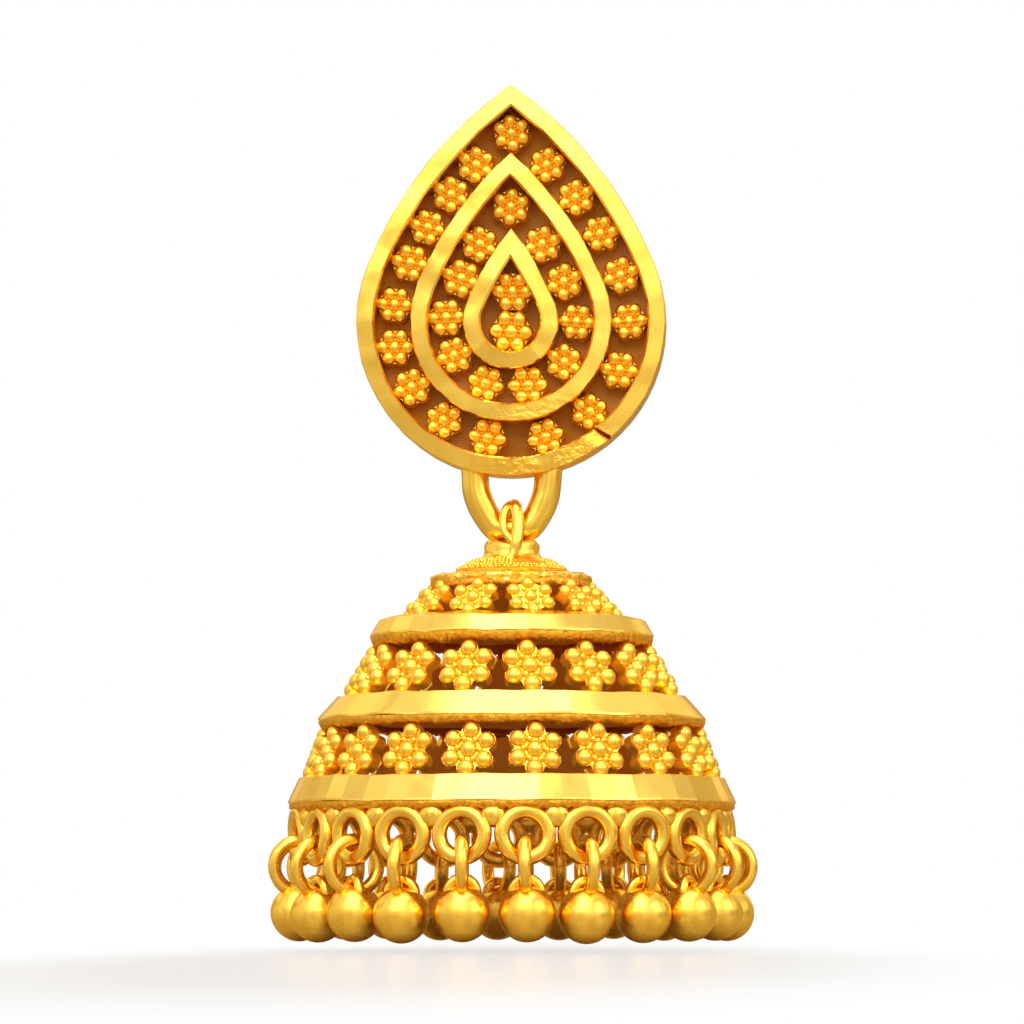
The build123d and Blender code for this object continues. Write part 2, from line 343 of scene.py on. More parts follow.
def drop_point(inset, share):
    """A place on the right half of the drop, the way out of it there, and the length of that half.

    Share runs from 0 at the point to 1 at the bottom.
    """
    side, lower = SIDE_RADIUS - inset, ROUND_RADIUS - inset
    start, meet = asin(side_offset / side), atan2(side_offset, side_drop)
    side_length, round_length = side * (meet - start), lower * (pi - meet)
    along = share * (side_length + round_length)
    if along < side_length:
        angle = start + along / side
        spot = Vector((-side_offset + side * sin(angle), ROUND_MIDDLE - side_drop + side * cos(angle)))
    else:
        angle = meet + (along - side_length) / lower
        spot = Vector((lower * sin(angle), ROUND_MIDDLE + lower * cos(angle)))
    return spot, Vector((sin(angle), cos(angle))), side_length + round_length


tip, _, length = drop_point(0, 0)
print("point at", round(tip.y, 2), "mm above the post; half outline", round(length, 1), "mm")
print("bottom at", round(drop_point(0, 1)[0].y, 2), "width low down", round(2 * drop_point(0, 0.6)[0].x, 2))

# %% [markdown]
# ## Rims bent from strip
#
# Each rim is a flat strip of gold bent on edge and closed at the point, with its front edge filed so that it
# slopes out a little, and its inner corner cut bright. Its section is drawn once, where the side arc meets
# the round end. Spinning that section about one arc's centre and then about the other's bends the strip, a
# cut on the middle plane mitres the point, and a mirror makes the other half. Small random moves of the
# points then give the filed front its flats, which is what makes the light break along it.
#
# The outer strip's ends meet at the lower right. A few cuts across the rim there give points that can be
# pushed down into a groove, with one end a little lower than the other.

# %% Bend a strip into a drop
PAST_POINT = 0.08  # radians that the strip is bent too far, so that the mitre has metal to cut
MITRE_MERGE = 0.001


def everything(bm):
    return bm.verts[:] + bm.edges[:] + bm.faces[:]


def bent_drop(bm, inset, section, side_steps, round_steps):
    """Sweep a section of (inward, height) corners round the drop: two spins, a mitre and a mirror."""
    meet = atan2(side_offset, side_drop)
    outward = Vector((sin(meet), cos(meet), 0))
    round_centre = Vector((0, ROUND_MIDDLE, 0))
    side_centre = Vector((-side_offset, ROUND_MIDDLE - side_drop, 0))
    start = round_centre + outward * (ROUND_RADIUS - inset)
    corners = [bm.verts.new(start - outward * inward + Vector((0, 0, height))) for inward, height in section]
    ring = corners + [corners[0]] if len(corners) > 2 else corners
    edges = [bm.edges.new(pair) for pair in zip(ring, ring[1:])]
    past_point = meet - asin(side_offset / (SIDE_RADIUS - inset)) + PAST_POINT
    for centre, angle, steps in (
        (side_centre, past_point, side_steps),
        (round_centre, meet - pi, round_steps),
    ):
        bmesh.ops.spin(bm, geom=corners + edges, cent=centre, axis=(0, 0, 1), angle=angle, steps=steps)
    bmesh.ops.bisect_plane(
        bm, geom=everything(bm), dist=0.00001, plane_co=(0, 0, 0), plane_no=(1, 0, 0), clear_inner=True
    )
    bmesh.ops.mirror(bm, geom=everything(bm), axis="X", merge_dist=MITRE_MERGE)
    bmesh.ops.remove_doubles(bm, verts=bm.verts, dist=MITRE_MERGE)


# %% File the strip and leave its seam
noise.seed_set(3)  # the drifts of hand work come out the same in every run

FRONT = PLATE_DEPTH - 0.3  # points higher than this belong to a rim's front
SEAM_PLACE = Vector((4.72, -8.57, 0))  # where the outer strip's two ends meet
SEAM_SLANT, SEAM_REACH, SEAM_LENGTH = radians(20), 4, 1.4
SEAM_HALF, SEAM_DEPTH = 0.11, 0.5
LOW_END, LOW_END_DROP = 0.7, 0.14  # one end slopes down to the seam over this length, by this much


def file_by_hand(bm, flat, wander, seed):
    """Push the front corners down a little so that flats form, and let the edges wander.

    The points are taken by their place, because a mesh's own order can change from run to run.
    """
    rng = random.Random(seed)
    heights = {}
    for vert in sorted(bm.verts, key=lambda vert: [round(c, 2) for c in vert.co]):
        spot = vert.co.copy()
        if spot.z > FRONT:
            key = (round(spot.x, 2), round(spot.y, 2))
            vert.co.z -= heights.setdefault(key, rng.uniform(0, flat))
        drift = noise.noise_vector(Vector((spot.x, spot.y, seed)) * 0.9) * wander
        vert.co.x += drift.x
        vert.co.y += drift.y


def near_seam(bm):
    """The faces round the seam with their edges and corners, so that the rim's far side stays uncut."""
    faces = [face for face in bm.faces if (face.calc_center_median() - SEAM_PLACE).length < SEAM_REACH]
    edges = dict.fromkeys(edge for face in faces for edge in face.edges)
    corners = dict.fromkeys(vert for face in faces for vert in face.verts)
    return [*faces, *edges, *corners]


def leave_seam(bm):
    """Cut a narrow groove across the rim, and let one end stand a little lower than the other."""
    outward = (SEAM_PLACE - Vector((0, ROUND_MIDDLE, 0))).normalized()
    along = Matrix.Rotation(pi / 2 + SEAM_SLANT, 3, "Z") @ outward
    for offset in (-LOW_END, -SEAM_HALF, 0, SEAM_HALF):
        place = SEAM_PLACE + along * offset
        bmesh.ops.bisect_plane(bm, geom=near_seam(bm), dist=MERGE, plane_co=place, plane_no=along)
    for vert in bm.verts:
        away = vert.co - SEAM_PLACE
        away.z = 0
        if away.length > SEAM_LENGTH or vert.co.z < FRONT:
            continue
        if abs(away.dot(along)) < 0.01:  # on the groove's middle line
            vert.co.z -= SEAM_DEPTH
        elif -0.2 < away.dot(along) < 0:  # on the lower end, beside the groove
            vert.co.z -= LOW_END_DROP


# %% Bend the three rims
RIM_WIDTH = 0.9
RIM_INSETS = (0.0, 2.7, 5.36)
RIM_SLOPES = (0.09, 0.06, 0.11)  # how much lower the outer edge was filed than the inner one

bm = bmesh.new()
for number, (inset, slope) in enumerate(zip(RIM_INSETS, RIM_SLOPES)):
    outer, inner = PLATE_DEPTH - slope, PLATE_DEPTH
    front = ((0, outer - 0.08), (0.05, outer), (0.8, inner), (RIM_WIDTH, inner - 0.12))
    section = ((0, BACK_SHEET), *front, (RIM_WIDTH, BACK_SHEET))
    rim = bmesh.new()
    bent_drop(rim, inset, section, side_steps=9 - 2 * number, round_steps=15 - 3 * number)
    file_by_hand(rim, flat=0.055, wander=0.05, seed=number + 3)
    if inset == 0:
        leave_seam(rim)
    add_part(bm, rim, f"rim_shape_{number}")
finish_piece(
    bm, "plate_rims", "plate", rim_gold, post_root, ["ear_plate"], 8, UPRIGHT, mend=True
)

# %% [markdown]
# ## The back sheet
#
# The rims stand on a thin sheet cut to the same drop. Spinning two points about the two arcs' centres gives
# its edge, and filling the open front and back closes it. Its front, seen between the rims, is painted dark
# brown with tan patches as shade, and is dull. Its edge and the side against the ear get plain gold instead,
# a second finish, which is chosen face by face.

# %% Cut the sheet


def second_finish(piece, material, chosen):
    """Give another finish to the faces that are chosen."""
    piece.data.materials.append(material)
    for face in piece.data.polygons:
        if chosen(face):
            face.material_index = 1


bm = bmesh.new()
bent_drop(bm, 0.02, ((0, 0), (0, BACK_SHEET)), side_steps=12, round_steps=20)
front = [edge for edge in bm.edges if all(vert.co.z > BACK_SHEET / 2 for vert in edge.verts)]
back = [edge for edge in bm.edges if all(vert.co.z < BACK_SHEET / 2 for vert in edge.verts)]
bmesh.ops.edgenet_fill(bm, edges=front)
bmesh.ops.edgenet_fill(bm, edges=back)
plate_sheet = finish_piece(
    bm, "plate_sheet", "plate", sheet_shade_gold, post_root, ["ear_plate"], 40, UPRIGHT, mend=True
)
# Faces not turned to the front, the edge and the back, get plain grain gold, so the painted shade stays on
# the front.
second_finish(plate_sheet, grain_gold, lambda face: face.normal.y > -0.5)

# %% [markdown]
# ## A flower of fused balls
#
# The ornament all over this earring is one motif: six little balls round a seventh, fused to a lobed base.
# The base starts as a disc whose points are moved out to the outline of six round petals, and is then pulled
# up to its thickness. Each ball is a sphere with its buried part cut off, because there are hundreds of them
# and nobody sees below the base. Where the balls were fused, drops of solder stand between them.

# %% Make a flower
Flower = namedtuple("Flower", "across upright grain web thickness height")
BALL_BURIED, SOLDER_BURIED = 0.1, 0.05  # how deep balls and solder reach into the base
SOLDER_REACH, SOLDER_SIZE = 0.58, 0.42  # as shares of a petal's reach and of a ball's radius


def petal_spots(flower):
    turns = [radians(step * 60) for step in range(6)]
    return [Vector((flower.across * sin(turn), flower.upright * cos(turn), 0)) for turn in turns]


def petal_reach(flower, direction):
    """How far the lobed base reaches in a direction."""
    reach = flower.web
    for spot in petal_spots(flower):
        ahead = spot.dot(direction)
        aside = (spot - direction * ahead).length
        if ahead > 0 and aside < flower.grain:
            reach = max(reach, ahead + sqrt(flower.grain**2 - aside**2))
    return reach


def add_dome(bm, spot, radius, floor, segments, rings):
    """A ball whose part below the floor is cut away and closed."""
    ball = bmesh.ops.create_uvsphere(
        bm, u_segments=segments, v_segments=rings, radius=radius, matrix=Matrix.Translation(spot)
    )["verts"]
    faces = dict.fromkeys(face for vert in ball for face in vert.link_faces)
    edges = dict.fromkeys(edge for vert in ball for edge in vert.link_edges)
    cut = bmesh.ops.bisect_plane(
        bm, geom=[*ball, *edges, *faces], plane_co=(0, 0, floor), plane_no=(0, 0, 1), clear_inner=True
    )["geom_cut"]
    bmesh.ops.contextual_create(bm, geom=[item for item in cut if isinstance(item, bmesh.types.BMEdge)])


def flower_shape(name, flower):
    bm = bmesh.new()
    disc = bmesh.ops.create_circle(bm, cap_ends=True, segments=48, radius=1)
    for vert in disc["verts"]:
        vert.co *= petal_reach(flower, vert.co.normalized())
    top = bmesh.ops.extrude_face_region(bm, geom=bm.faces[:])["geom"]
    raised = [item for item in top if isinstance(item, bmesh.types.BMVert)]
    bmesh.ops.translate(bm, vec=(0, 0, flower.thickness), verts=raised)
    ball_height = Vector((0, 0, flower.height - flower.grain))
    for spot in [Vector(), *petal_spots(flower)]:
        add_dome(bm, spot + ball_height, flower.grain, flower.thickness - BALL_BURIED, 12, 8)
    solder_height = Vector((0, 0, flower.thickness))
    for spot in petal_spots(flower):
        between = Matrix.Rotation(radians(30), 3, "Z") @ spot * SOLDER_REACH + solder_height
        add_dome(bm, between, flower.grain * SOLDER_SIZE, flower.thickness - SOLDER_BURIED, 8, 6)
    bmesh.ops.recalc_face_normals(bm, faces=bm.faces)
    print(f"{name}: {len(bm.faces)} faces")
    return keep_mesh(bm, name)


# %% [markdown]
# ## Flowers on the ear plate
#
# Two channels between the rims are filled with flowers, and two more stand one above the other in the
# middle. A flower is stamped at each place along the channel's own route, a few degrees off true, because
# each one was set down by hand with tweezers. A small stem joins the top flower of the outer channel to the
# middle rim's point.

# %% Find the places of the plate's flowers
# For each channel's inset: how far its top flower stands below the point, how far the others bow up towards
# the middle of a side, and each side's sign, count, first place and pitch along the route.
CHANNELS = {
    1.8: (0.1, 0.48, ((-1, 9, 2.5, 2.17), (1, 8, 2.5, 2.42))),
    4.48: (0.2, 0.0, ((-1, 5, 2.6, 2.06), (1, 5, 2.65, 2.19))),
}
CENTRE_FLOWERS = (-1.23, -3.3)
CENTRE_ASIDE, CENTRE_SIZE = 0.03, 1.13
SIDE_TURN = 30.0

places = []
for inset, (point_drop, bow, sides) in CHANNELS.items():
    tip, out, length = drop_point(inset, 0)
    places.append((tip.x, tip.y - point_drop, 0, 1.0))
    point_angle = atan2(out.y, out.x)
    for sign, count, first, pitch in sides:
        for step in range(count):
            along = first + step * pitch - bow * sin(pi * step / (count - 1))
            spot, out, length = drop_point(inset, along / length)
            turn = SIDE_TURN * (1 - atan2(out.y, out.x) / point_angle)
            places.append((sign * spot.x, spot.y, sign * turn, 1.0))
places += [(CENTRE_ASIDE, height, SIDE_TURN, CENTRE_SIZE) for height in CENTRE_FLOWERS]
print(len(places), "flowers on the plate")

# %% Set the plate's flowers and the stem
PLATE_FLOWER = Flower(0.635, 0.635, 0.36, 0.8, 0.95, 1.36)
STEM_HALF_WIDTH, STEM_HALF_DEPTH, STEM_HEIGHT = 0.28, 0.6, 0.45

rng = random.Random(11)
top_flower = places[0][1]
stem_end = drop_point(RIM_INSETS[1], 0)[0].y - 0.2
stem = bmesh.new()
stem_place = Matrix.Translation((0, (top_flower + stem_end) / 2, BACK_SHEET + STEM_HEIGHT))
stem_size = Matrix.Diagonal((STEM_HALF_WIDTH, (top_flower - stem_end) / 2, STEM_HALF_DEPTH, 1))
bmesh.ops.create_uvsphere(stem, u_segments=12, v_segments=8, radius=1, matrix=stem_place @ stem_size)
bm = bmesh.new()
add_part(bm, stem, "stem_shape")
stamp(
    bm,
    flower_shape("plate_flower_shape", PLATE_FLOWER),
    [
        Matrix.Translation((x + rng.uniform(-0.05, 0.05), y + rng.uniform(-0.05, 0.05), BACK_SHEET))
        @ Matrix.Rotation(radians(-turn + rng.uniform(-8, 8)), 4, "Z")
        @ Matrix.Scale(size * rng.uniform(0.98, 1.06), 4)
        for x, y, turn, size in places
    ],
)
finish_piece(bm, "plate_flowers", "plate", grain_gold, post_root, ["ear_plate"], 50, UPRIGHT)

# %% [markdown]
# ## Turned work: the three bands
#
# The bell is round, so its bands are turned: a section is drawn beside the upright axis and spun round it.
# They were then cut with a flat tool, one flat after another, so each is spun with as many steps as it has
# flats, and its edges stay sharp. Moving whole columns of points a little makes the flats uneven, as a hand
# leaves them.

# %% Turn and cut a band


def spin_section(bm, section, steps, closed=True):
    """Spin a section of (radius, drop) corners round the upright axis."""
    corners = [bm.verts.new((radius, 0, -drop)) for radius, drop in section]
    ring = corners + [corners[0]] if closed else corners
    edges = [bm.edges.new(pair) for pair in zip(ring, ring[1:])]
    bmesh.ops.spin(
        bm, geom=corners + edges, cent=(0, 0, 0), axis=(0, 0, 1), angle=2 * pi, steps=steps, use_merge=True
    )
    bmesh.ops.remove_doubles(bm, verts=bm.verts, dist=MERGE)


def cut_by_hand(bm, flats, turn, push, wave, seed):
    """Move whole columns of points round or outwards, and let the edge's height wander."""
    rng = random.Random(seed)
    columns = [(radians(rng.uniform(-turn, turn)), rng.uniform(-push, push)) for flat in range(flats)]
    pitch = 2 * pi / flats
    for vert in bm.verts:
        radius, angle = vert.co.xy.length, atan2(vert.co.y, vert.co.x)
        extra_turn, extra = columns[round(angle / pitch) % flats]
        vert.co.x = (radius + extra) * cos(angle + extra_turn)
        vert.co.y = (radius + extra) * sin(angle + extra_turn)
        vert.co.z += noise.noise(Vector((cos(angle) * 6, sin(angle) * 6, seed))) * wave


# %% Cut the three bands
BANDS = (
    ((5.2, 4.45), (5.74, 4.43), (6.6, 4.62), (6.7, 4.66), (7.1, 5.34), (7.13, 5.42), (7.04, 5.5), (6.2, 5.5)),
    ((8.0, 8.5), (8.66, 8.44), (8.74, 8.46), (9.68, 9.5), (9.72, 9.6), (9.62, 9.68), (8.85, 9.7)),
    ((9.9, 12.62), (10.56, 12.5), (10.64, 12.53), (11.17, 13.66), (11.2, 13.76), (11.08, 13.84),
     (10.2, 13.86)),
)
CUTS = ((90, 0.3, 0.008), (110, 0.25, 0.008), (54, 0.7, 0.007))  # flats; degrees and millimetres they are off

bm = bmesh.new()
for number, (section, (flats, turn, push)) in enumerate(zip(BANDS, CUTS)):
    band = bmesh.new()
    spin_section(band, section, flats)
    cut_by_hand(band, flats, turn, push, wave=0.09, seed=number + 21)
    add_part(bm, band, f"band_shape_{number}")
finish_piece(bm, "bell_bands", "bell", cut_gold, hinge, ["bell_dome"], 4.8, mend=True)

# %% [markdown]
# ## The cap
#
# The bell is closed above by a small cap with a rolled edge. It is turned like the bands, but smooth, with
# many steps. Its edge was only roughly rolled, so its points wander and it gets the rough finish. The faces
# that look up get the smoother, paler cut gold instead, a painted highlight along the cap's top.

# %% Turn the cap
CAP = (
    (0.0, 2.3), (2.6, 2.3), (3.5, 2.3), (3.82, 2.34), (4.0, 2.44), (4.06, 2.56), (4.03, 2.7),
    (4.06, 2.82), (4.05, 2.95), (3.95, 3.06), (3.7, 3.14), (3.3, 3.15), (3.2, 2.85), (0.0, 2.85),
)
CAP_EDGE = 3.6  # the rolled edge lies outside this radius

bm = bmesh.new()
spin_section(bm, CAP, 180, closed=False)
for vert in bm.verts:
    if vert.co.xy.length > CAP_EDGE:
        vert.co += noise.noise_vector(vert.co * 1.3) * 0.06 + noise.noise_vector(vert.co * 5) * 0.1
bell_cap = finish_piece(bm, "bell_cap", "bell", skin_gold, hinge, ["bell_dome"], 50, mend=True)
# Faces that look up get the paler, smoother cut gold: a painted highlight along the cap's top, with a
# smoother finish.
second_finish(bell_cap, cut_gold, lambda face: face.normal.z > 0.45)

# %% [markdown]
# ## The grainy undersides
#
# Below each polished band hangs a rougher skirt of fused grains, where the flowers are soldered on. It is
# spun with many steps and its points are jogged at random, so that it is truly grainy in outline, and the
# finish adds a finer grain still. It also dips a little between the flowers, where solder ran down.

# %% Spin the skirts
Skirt = namedtuple("Skirt", "scallops first_angle dip section")
SKIRTS = (
    Skirt(
        15, 10.2, 0.09, ((7.06, 5.42), (7.08, 5.52), (7.05, 5.64), (6.98, 5.76), (6.86, 5.86), (6.6, 5.92))
    ),
    Skirt(
        19, 10.2, 0.07, ((9.66, 9.62), (9.68, 9.72), (9.64, 9.82), (9.56, 9.92), (9.4, 9.99), (9.1, 10.02))
    ),
    Skirt(
        22, 7.0, 0.06,
        ((11.12, 13.78), (11.13, 13.88), (11.1, 14.0), (10.98, 14.1), (10.7, 14.18), (10.3, 14.16)),
    ),
)
JOG = 0.075

rng = random.Random(31)
bm = bmesh.new()
for skirt in SKIRTS:
    band = bmesh.new()
    spin_section(band, skirt.section, 360)
    lowest = min(vert.co.z for vert in band.verts)
    highest = max(vert.co.z for vert in band.verts)
    for vert in band.verts:
        angle = atan2(vert.co.x, -vert.co.y)
        along = (angle - radians(skirt.first_angle)) * skirt.scallops / 2
        low = (highest - vert.co.z) / (highest - lowest)
        vert.co.z -= skirt.dip * abs(sin(along)) ** 3 * low
        vert.co += Vector([rng.uniform(-1, 1) for axis in range(3)]) * JOG * low
    add_part(bm, band, "skirt_shape")
finish_piece(bm, "bell_skirts", "bell", skin_gold, hinge, ["bell_dome"], 70, mend=True)

# %% [markdown]
# ## Three rows of flowers in the bell
#
# The bell's wall between the bands is only flowers, soldered at their top and foot, with air between them.
# Each row has its own size of flower and leans with the wall. A place is a matrix whose first column runs
# round the bell, whose third points out of the wall, and whose second then points up it.

# %% Places on the wall
Row = namedtuple("Row", "count first_angle back_shift top foot flower")
ROWS = (
    Row(10, 15.2, -5.0, (4.04, 2.6), (5.64, 4.32), Flower(0.92, 0.93, 0.345, 0.95, 0.5, 0.8)),
    Row(15, 10.2, 9.0, (6.98, 5.62), (8.64, 8.4), Flower(0.95, 1.04, 0.455, 1.0, 0.52, 0.92)),
    Row(19, 10.2, 6.0, (9.6, 9.88), (10.58, 12.51), Flower(0.95, 1.0, 0.445, 0.98, 0.52, 0.91)),
)


def wall_place(angle, radius, drop, outward, upward):
    """A place on the bell's wall, facing out of it. An angle of 0 is the front."""
    across, ahead = sin(angle), -cos(angle)
    out = Vector((outward * across, outward * ahead, upward))
    side = Vector((-ahead, across, 0))
    columns = [side, out.cross(side), out, Vector((radius * across, radius * ahead, -drop))]
    return Matrix([[*column, 0 if column is not columns[3] else 1] for column in columns]).transposed()


def row_angles(row):
    """Where a row's flowers stand. They drift a little off even spacing round the back of the bell."""
    even = [radians(row.first_angle + step * 360 / row.count) for step in range(row.count)]
    return [angle + radians(row.back_shift) * ((1 - cos(angle)) / 2) ** 2 for angle in even]


# %% Set the bell's flowers
rng = random.Random(5)
for number, row in enumerate(ROWS, 1):
    fall, run = row.foot[1] - row.top[1], row.foot[0] - row.top[0]
    outward, upward = fall / hypot(fall, run), run / hypot(fall, run)
    radius = (row.top[0] + row.foot[0]) / 2 - row.flower.height * outward
    drop = (row.top[1] + row.foot[1]) / 2 + row.flower.height * upward
    places = [
        wall_place(angle, radius, drop, outward, upward)
        @ Matrix.Rotation(radians(rng.uniform(-5, 5)), 4, "Z")
        for angle in row_angles(row)
    ]
    bm = bmesh.new()
    stamp(bm, flower_shape(f"row_{number}_shape", row.flower), places)
    finish_piece(bm, f"bell_flowers_{number}", "bell", petal_gold, hinge, ["bell_dome"], 50)

# %% [markdown]
# ## Rim rings
#
# Twenty-two wire rings are soldered side by side under the lowest band, with a drop of solder between each
# two. A ring of wire is a circle spun about an axis beside it. All are stamped from one shape, a little
# askew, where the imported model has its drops.

# %% Wire rings
RING_CIRCLE = 10.7
RING_DROP, RING_RADIUS, RING_WIRE = 15.42, 1.13, 0.76
SOLDER_DROP, SOLDER_HALF_SIZE = 14.5, (0.66, 0.62, 0.36, 1)


def wire_ring(bm, radius, wire, steps, sides, turn=Matrix()):
    """A ring of round wire in the local XY plane, or turned out of it."""
    start = Matrix.Translation((radius, 0, 0)) @ Matrix.Rotation(pi / 2, 4, "X")
    section = bmesh.ops.create_circle(bm, segments=sides, radius=wire / 2, matrix=start)["verts"]
    edges = list(dict.fromkeys(edge for vert in section for edge in vert.link_edges))
    bmesh.ops.spin(
        bm, geom=section + edges, cent=(0, 0, 0), axis=(0, 0, 1), angle=2 * pi, steps=steps, use_merge=True
    )
    bmesh.ops.transform(bm, matrix=turn, verts=bm.verts)


def node_angle(name):
    """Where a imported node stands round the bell."""
    low, high = (Vector(corner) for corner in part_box(name))
    spot = (low + high) / 2 - hinge
    return atan2(spot.x, -spot.y)


def rim_place(angle, drop):
    return wall_place(angle, RING_CIRCLE, drop, 1, 0)


def askew(rng, *most):
    """A small random turn about each axis, of at most so many degrees."""
    return Euler([radians(rng.uniform(-degrees, degrees)) for degrees in most]).to_matrix().to_4x4()


rim_angles = [node_angle(name) for name in DROPS]
half_pitch = pi / len(DROPS)
rng = random.Random(8)
ring = bmesh.new()
wire_ring(ring, RING_RADIUS, RING_WIRE, 32, 12)
ring_shape = keep_mesh(ring, "ring_shape")
bm = bmesh.new()
stamp(bm, ring_shape, [rim_place(angle, RING_DROP) @ askew(rng, 5, 5, 5) for angle in rim_angles])
solder = bmesh.new()
bmesh.ops.create_uvsphere(
    solder, u_segments=12, v_segments=8, radius=1, matrix=Matrix.Diagonal(SOLDER_HALF_SIZE)
)
solder_shape = keep_mesh(solder, "solder_shape")
stamp(bm, solder_shape, [rim_place(angle + half_pitch, SOLDER_DROP) for angle in rim_angles])
finish_piece(bm, "rim_rings", "bell", wire_gold, hinge, ["bell_dome"], 80, mend=True)

# %% [markdown]
# ## The fringe: links, loops and beads
#
# Each rim ring carries a link, and each link a bead by the small loop on its top. A drop is drawn once below
# the top of its link, with the link edge on to the loop. Its three shapes are stamped at the same places, so
# that they stay together, and each place hangs a little askew, as loose links do.

# %% Hang the drops
LINK_DROP, LINK_RADIUS, LINK_WIRE = 16.93, 1.245, 0.64
LOOP_DROP, LOOP_RADIUS, LOOP_WIRE = 18.25, 0.7, 0.48
BEAD_DROP, BEAD_RADIUS = 19.25, 1.37
LINK_TOP = LINK_DROP - LINK_RADIUS
SIDEWAYS = Matrix.Rotation(pi / 2, 4, "Y")
POLES_UP = Matrix.Rotation(pi / 2, 4, "X")

hang_places = [
    rim_place(angle, LINK_TOP + rng.uniform(-0.07, 0.07)) @ askew(rng, 2, 26, 2) for angle in rim_angles
]


def below_ring(drop):
    """The place at this drop, seen from the top of the link."""
    return Matrix.Translation((0, LINK_TOP - drop, 0))


link, loop, bead = bmesh.new(), bmesh.new(), bmesh.new()
wire_ring(link, LINK_RADIUS, LINK_WIRE, 32, 12, below_ring(LINK_DROP) @ SIDEWAYS)
wire_ring(loop, LOOP_RADIUS, LOOP_WIRE, 24, 10, below_ring(LOOP_DROP))
bead_place = below_ring(BEAD_DROP) @ POLES_UP
bmesh.ops.create_uvsphere(bead, u_segments=40, v_segments=24, radius=BEAD_RADIUS, matrix=bead_place)
for name, shape, finish in (
    ("fringe_links", link, wire_gold),
    ("bead_loops", loop, wire_gold),
    ("fringe_beads", bead, bead_gold),
):
    bm = bmesh.new()
    stamp(bm, keep_mesh(shape, f"{name}_shape"), hang_places)
    finish_piece(bm, name, "bell", finish, hinge, DROPS, 80, mend=True)

# %% [markdown]
# ## The neck
#
# A thick neck carries the bell. It is turned, and its top is then hollowed like a saddle, so that the loop
# can roll in it as the bell swings: every point that would be nearer to the hinge line than the loop's wire
# is moved down out of its way. The foot spreads into a collar. The ground of the collar was never polished,
# so the faces there get the rough finish.

# %% Turn the neck
NECK = (
    (0.0, 0.45), (0.4, 0.45), (0.8, 0.45), (1.1, 0.46), (1.26, 0.52), (1.35, 0.64), (1.38, 0.78),
    (1.4, 0.9), (1.38, 1.1), (1.42, 1.3), (1.52, 1.46), (1.74, 1.56), (2.1, 1.7), (2.5, 1.92),
    (2.74, 2.1), (2.86, 2.15), (2.9, 2.2), (2.86, 2.28), (2.5, 2.3), (0.0, 2.28),
)
SADDLE = 0.8
NECK_TOP, WAIST = 0.45, 0.9  # the neck's rim lies between these drops
FRONT_DIP, SHOULDER = 0.3, 1.15  # the rim is lower in front, and highest this far to each side
COLLAR_START = 1.75

bm = bmesh.new()
spin_section(bm, NECK, 96, closed=False)
for vert in bm.verts:
    if vert.co.z > -WAIST:
        dip = FRONT_DIP * (1 - min(abs(vert.co.x) / SHOULDER, 1) ** 2)
        vert.co.z -= dip * (vert.co.z + WAIST) / (WAIST - NECK_TOP)
    if abs(vert.co.y) < SADDLE:
        vert.co.z = min(vert.co.z, -sqrt(SADDLE**2 - vert.co.y**2))
neck = finish_piece(bm, "neck", "bell", wire_gold, hinge, ["bell_eye"], 40, mend=True)
second_finish(neck, skin_gold, lambda face: (face.center - hinge).xy.length > COLLAR_START * MM)

# %% [markdown]
# ## The collar's grains
#
# The collar is covered with rings of fused grains, hundreds of them. Each is a coarse dome of a few dozen
# faces, which is enough at this size. Their sizes and places vary a little. On one side, near the neck, they
# were rubbed away.

# %% Set the collar's grains
COLLAR_ROWS = ((2.68, 2.05), (2.5, 1.93), (2.31, 1.83), (2.12, 1.73), (1.94, 1.65), (1.76, 1.58))
GRAIN_PITCH = 0.2
SMOOTH_PATCH, SMOOTH_WITHIN = (0.12, 0.85), 2.4  # the angles and the radius of the patch without grains

grain = bmesh.new()
add_dome(grain, Vector(), 1, -0.35, 8, 6)
bmesh.ops.recalc_face_normals(grain, faces=grain.faces)
grain_shape = keep_mesh(grain, "collar_grain_shape")
rng = random.Random(17)
bm = bmesh.new()
for radius, drop in COLLAR_ROWS:
    count = round(2 * pi * radius / GRAIN_PITCH)
    angles = [(step + rng.uniform(-0.2, 0.2)) * 2 * pi / count - pi for step in range(count)]
    places = [
        wall_place(angle, radius + rng.uniform(-0.04, 0.04), drop, 0.5, 0.87)
        @ Matrix.Scale(rng.uniform(0.075, 0.12), 4)
        for angle in angles
        if radius > SMOOTH_WITHIN or not SMOOTH_PATCH[0] < angle < SMOOTH_PATCH[1]
    ]
    stamp(bm, grain_shape, places)
finish_piece(bm, "collar_grains", "bell", grain_gold, hinge, ["bell_eye"], 60)

# %% [markdown]
# ## The eye of doubled wire
#
# The eye is a wire doubled over the hanger loop. Its two strands part in front, leaving a slit, meet again
# on the neck, and one runs on down it as a tail. Wire that bends freely is easiest as a NURBS curve with
# a round bevel, because a few control points give a smooth bend. It is then made a mesh like the rest.

# %% Bend the eye's wires


def bent_wire(bm, points, radius):
    """Add a round wire along a smooth curve near these points. A fourth number makes it thinner there."""
    curve = bpy.data.curves.new("wire", "CURVE")
    curve.dimensions = "3D"
    curve.bevel_depth, curve.bevel_resolution = radius, 3
    curve.resolution_u = 8
    curve.use_fill_caps = True
    spline = curve.splines.new("NURBS")
    spline.points.add(len(points) - 1)
    for point, spot in zip(spline.points, points):
        point.co = (*spot[:3], 1)
        point.radius = spot[3] if len(spot) > 3 else 1
    spline.order_u = 3
    spline.use_endpoint_u = True
    holder = bpy.data.objects.new("wire", curve)
    bm.from_mesh(bpy.data.meshes.new_from_object(holder))
    bmesh.ops.remove_doubles(bm, verts=bm.verts, dist=MERGE)
    bpy.data.objects.remove(holder)


